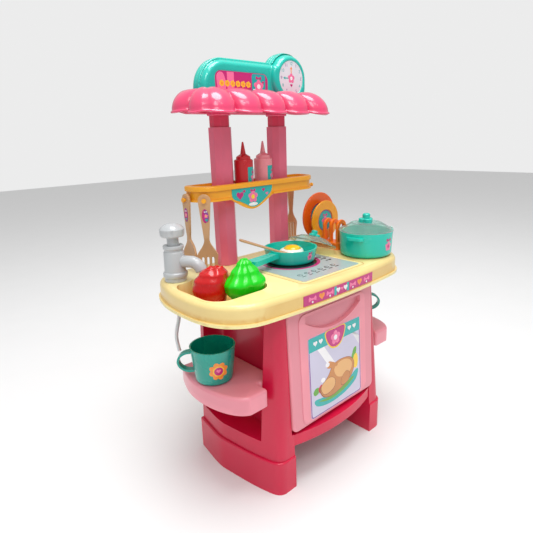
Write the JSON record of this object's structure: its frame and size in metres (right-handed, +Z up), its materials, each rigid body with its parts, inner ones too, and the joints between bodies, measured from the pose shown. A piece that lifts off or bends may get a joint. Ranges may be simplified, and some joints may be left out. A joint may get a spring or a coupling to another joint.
{
  "type": "toy kitchen",
  "caption": "Compact free-standing toy kitchen: sink with push tap, hob, drop-down oven door, mug shelves, utensil shelf, scalloped canopy with a clock sign, pans, plates and play food.",
  "frame": {"origin": "on the floor under the middle of the footprint", "axes": "+Z up, -Y towards the child at the oven side, +X towards the pot and plate side"},
  "size_m": [0.438, 0.238, 0.6845],
  "materials": {
    "crimson_plastic": "semi-gloss moulded",
    "grey_card": "matt inside",
    "steel": "plain",
    "pink_plastic": "semi-gloss moulded",
    "cream_plastic": "semi-gloss moulded",
    "printed_label": "glossy printed film",
    "grey_plastic": "semi-gloss moulded",
    "clear_hose": "soft translucent",
    "seal_rubber": "soft",
    "rose_plastic": "semi-gloss moulded",
    "magenta_plastic": "semi-gloss moulded",
    "amber_plastic": "semi-gloss moulded",
    "canopy_plastic": "glossy moulded",
    "turquoise_plastic": "glossy moulded",
    "orange_plastic": "glossy moulded",
    "mug_plastic": "glossy moulded",
    "jade_plastic": "glossy moulded",
    "clear_plastic": "clear glossy plastic",
    "white_plastic": "glossy moulded",
    "yolk_plastic": "glossy moulded",
    "tan_plastic": "semi-gloss moulded",
    "red_plastic": "glossy moulded",
    "bottle_pink": "glossy moulded",
    "green_plastic": "glossy moulded"
  },
  "bodies": {
    "kitchen": {"right_side_panel": "crimson_plastic", "left_side_panel": "crimson_plastic", "front_frame": "crimson_plastic", "oven_cavity": "grey_card", "rear_brace": "crimson_plastic", "brace_screws": "steel", "right_side_shelf": "pink_plastic", "left_side_shelf": "pink_plastic", "worktop": "cream_plastic", "hob_sticker": "printed_label", "front_sticker": "printed_label", "tap_body": "grey_plastic", "pump_spring": "steel", "tap_nut": "grey_plastic", "hose_spigot": "grey_plastic", "inlet_hose": "clear_hose", "left_post": "rose_plastic", "right_post": "rose_plastic", "left_neck": "magenta_plastic", "right_neck": "magenta_plastic", "upper_shelf": "amber_plastic", "shelf_sticker": "printed_label", "canopy": "canopy_plastic", "sign_front": "turquoise_plastic", "sign_back": "turquoise_plastic", "sign_sticker": "printed_label", "clock_dial": "printed_label", "dish_rack": "orange_plastic"},
    "door": {"oven_door": "pink_plastic", "door_sticker": "printed_label"},
    "tap_plunger": {"tap_knob": "grey_plastic", "piston_seal": "seal_rubber"},
    "left_mug": {"left_mug": "mug_plastic"},
    "right_mug": {"right_mug": "mug_plastic"},
    "pan": {"pan": "jade_plastic"},
    "fried_egg": {"egg_white": "white_plastic", "egg_yolk": "yolk_plastic"},
    "pan_spoon": {"pan_spoon": "tan_plastic"},
    "pan_lid": {"pan_lid": "clear_plastic", "pan_lid_knob": "jade_plastic"},
    "pot": {"pot": "jade_plastic"},
    "pot_lid": {"pot_lid": "clear_plastic", "pot_lid_knob": "jade_plastic"},
    "large_plate": {"large_plate": "orange_plastic"},
    "small_plate": {"small_plate": "amber_plastic"},
    "red_bottle": {"red_bottle": "red_plastic", "red_nozzle": "red_plastic"},
    "pink_bottle": {"pink_bottle": "bottle_pink", "pink_nozzle": "bottle_pink"},
    "red_pepper": {"red_pepper": "red_plastic"},
    "green_pepper": {"green_pepper": "green_plastic"},
    "spoon": {"spoon": "tan_plastic", "spoon_label": "printed_label"},
    "fork": {"fork": "tan_plastic", "fork_label": "printed_label"},
    "turner": {"turner": "tan_plastic", "turner_label": "printed_label"}
  },
  "joints": [
    {"name": "door_hinge", "type": "hinge", "parent": "kitchen", "child": "door", "pos_m": [0, -0.10076, 0.10452], "axis": [1, 0, 0], "range_deg": [0, 90]},
    {"name": "tap_push", "type": "slide", "parent": "kitchen", "child": "tap_plunger", "axis": [0, 0, -1], "range_m": [0, 0.011], "stiffness_N_per_m": 150, "springref_m": -0.008, "deforming": ["pump_spring"]},
    {"name": "spoon_swing", "type": "hinge", "parent": "kitchen", "child": "spoon", "pos_m": [-0.134, 0.09, 0.45], "axis": [-1, 0, 0], "range_deg": [-20, 2]},
    {"name": "fork_swing", "type": "hinge", "parent": "kitchen", "child": "fork", "pos_m": [-0.12404, 0.05896, 0.45], "axis": [-0.7071, -0.7071, 0], "range_deg": [-4, 8]},
    {"name": "turner_swing", "type": "hinge", "parent": "kitchen", "child": "turner", "pos_m": [0.121, 0.108, 0.45], "axis": [0, 1, 0], "range_deg": [-10, 10]},
    {"name": "left_mug_lift", "type": "slide", "parent": "kitchen", "child": "left_mug", "axis": [0, 0, 1], "range_m": [0, 0.05]},
    {"name": "right_mug_lift", "type": "slide", "parent": "kitchen", "child": "right_mug", "axis": [0, 0, 1], "range_m": [0, 0.05]},
    {"name": "pan_lift", "type": "slide", "parent": "kitchen", "child": "pan", "axis": [-0.48, -0.36, 0.8], "range_m": [0, 0.04]},
    {"name": "egg_lift", "type": "slide", "parent": "pan", "child": "fried_egg", "axis": [0, 0, 1], "range_m": [0, 0.008]},
    {"name": "pan_spoon_lift", "type": "slide", "parent": "pan", "child": "pan_spoon", "axis": [0, 0, 1], "range_m": [0, 0.03]},
    {"name": "pan_lid_lift", "type": "slide", "parent": "pan", "child": "pan_lid", "axis": [-0.48, -0.36, 0.8], "range_m": [0, 0.03]},
    {"name": "pot_lift", "type": "slide", "parent": "kitchen", "child": "pot", "axis": [0, 0, 1], "range_m": [0, 0.06]},
    {"name": "pot_lid_lift", "type": "slide", "parent": "pot", "child": "pot_lid", "axis": [0, 0, 1], "range_m": [0, 0.04]},
    {"name": "large_plate_lift", "type": "slide", "parent": "kitchen", "child": "large_plate", "axis": [0.6, 0, 0.8], "range_m": [0, 0.05]},
    {"name": "small_plate_lift", "type": "slide", "parent": "kitchen", "child": "small_plate", "axis": [0, 0, 1], "range_m": [0, 0.06]},
    {"name": "red_bottle_lift", "type": "slide", "parent": "kitchen", "child": "red_bottle", "axis": [0, 0, 1], "range_m": [0, 0.02]},
    {"name": "pink_bottle_lift", "type": "slide", "parent": "kitchen", "child": "pink_bottle", "axis": [0, 0, 1], "range_m": [0, 0.02]},
    {"name": "red_pepper_lift", "type": "slide", "parent": "kitchen", "child": "red_pepper", "axis": [0, 0, 1], "range_m": [0, 0.07]},
    {"name": "green_pepper_lift", "type": "slide", "parent": "kitchen", "child": "green_pepper", "axis": [0, 0, 1], "range_m": [0, 0.07]}
  ]
}
